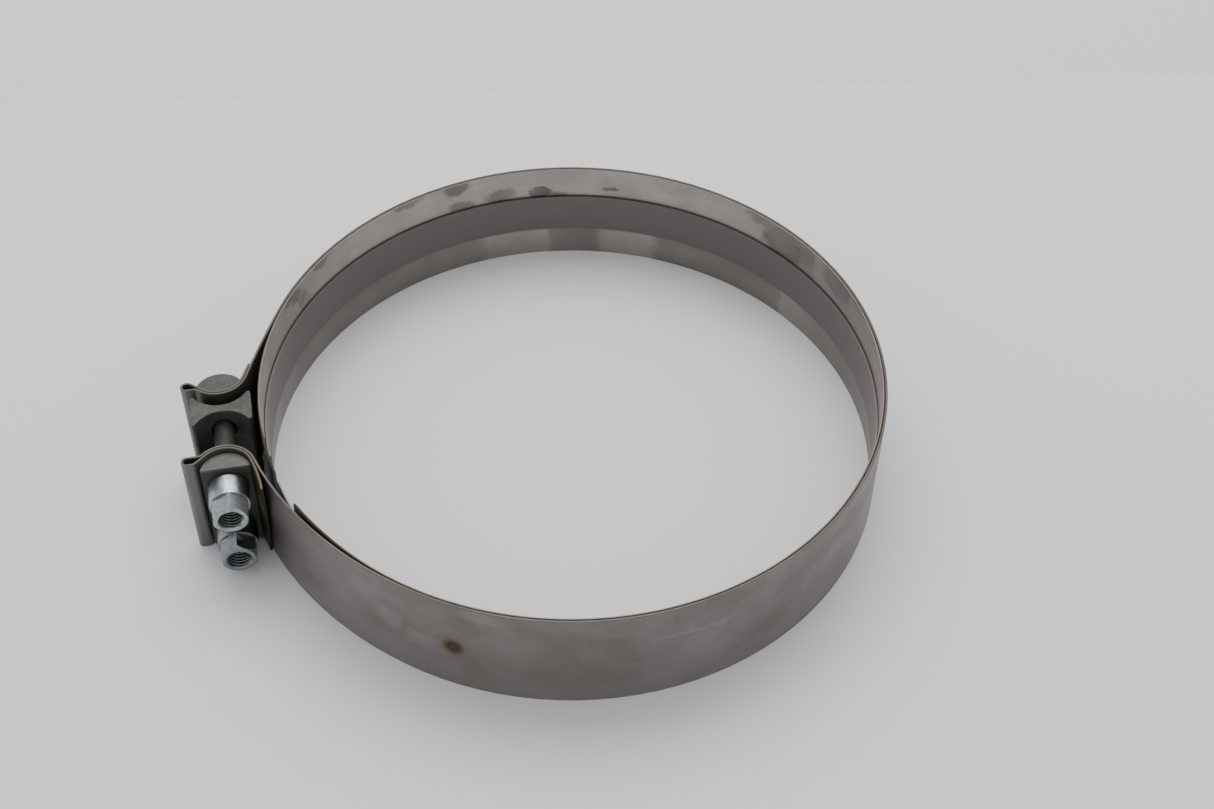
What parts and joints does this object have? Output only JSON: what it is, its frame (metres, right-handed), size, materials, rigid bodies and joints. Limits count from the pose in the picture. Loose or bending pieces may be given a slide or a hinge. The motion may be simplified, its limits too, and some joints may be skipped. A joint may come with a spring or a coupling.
{
  "type": "flat-band pipe repair clamp",
  "caption": "Wide flat steel band clamp with an inner liner and seal belt, folded ears, a reaction block, a half-round bar and collared nuts on T-bolts.",
  "frame": {"origin": "centre of the pipe bore, at half the band's width", "axes": "+Z along the bore and up when the clamp stands on its rim, -X towards the ears, -Y the way the nuts face"},
  "size_m": [0.295, 0.264, 0.0508],
  "materials": {
    "band_steel": "rolled stainless strip, dull grey, with a brown heat tint at the welds",
    "liner_steel": "satin stainless strip with dark cloudy smudges",
    "belt_steel": "even dark grey stainless strip",
    "plain_steel": "dull plain steel with a fine tumbled grain",
    "zinc_plate": "bright bluish zinc plating"
  },
  "bodies": {
    "root": {"outer_band_rear": "band_steel", "liner_rear": "liner_steel", "seal_belt_rear": "belt_steel", "t_bolt_upper": "plain_steel", "t_bolt_lower": "plain_steel"},
    "front_half": {"outer_band_front": "band_steel", "liner_front": "liner_steel", "seal_belt_front": "belt_steel"},
    "clamp_bar": {"clamp_bar": "plain_steel"},
    "nut_upper": {"nut_upper": "zinc_plate"},
    "nut_lower": {"nut_lower": "zinc_plate"},
    "reaction_block": {"reaction_block": "plain_steel"}
  },
  "joints": [
    {"name": "band_close", "type": "hinge", "parent": "root", "child": "front_half", "pos_m": [0.1293, -0.02396, 0], "axis": [0, 0, -1], "range_deg": [0, 1.56]},
    {"name": "clamp_bar_travel", "type": "slide", "parent": "root", "child": "clamp_bar", "axis": [0, 1, 0], "range_m": [0, 0.0075]},
    {"name": "nut_upper_spin", "type": "hinge", "parent": "clamp_bar", "child": "nut_upper", "pos_m": [-0.146, -0.0385, 0.0125], "axis": [0, 1, 0], "range_deg": [0, 1800]},
    {"name": "nut_lower_spin", "type": "hinge", "parent": "clamp_bar", "child": "nut_lower", "pos_m": [-0.146, -0.0385, -0.0125], "axis": [0, 1, 0], "range_deg": [0, 1800]},
    {"name": "reaction_block_slide", "type": "slide", "parent": "root", "child": "reaction_block", "axis": [0, 1, 0], "range_m": [-0.01, 0.0012]}
  ],
  "couplings": [
    {"joint": "nut_upper_spin", "follows": "clamp_bar_travel", "rad_per_m": 4188.8},
    {"joint": "nut_lower_spin", "follows": "clamp_bar_travel", "rad_per_m": 4188.8},
    {"joint": "band_close", "follows": "clamp_bar_travel", "rad_per_m": 3.6324}
  ]
}
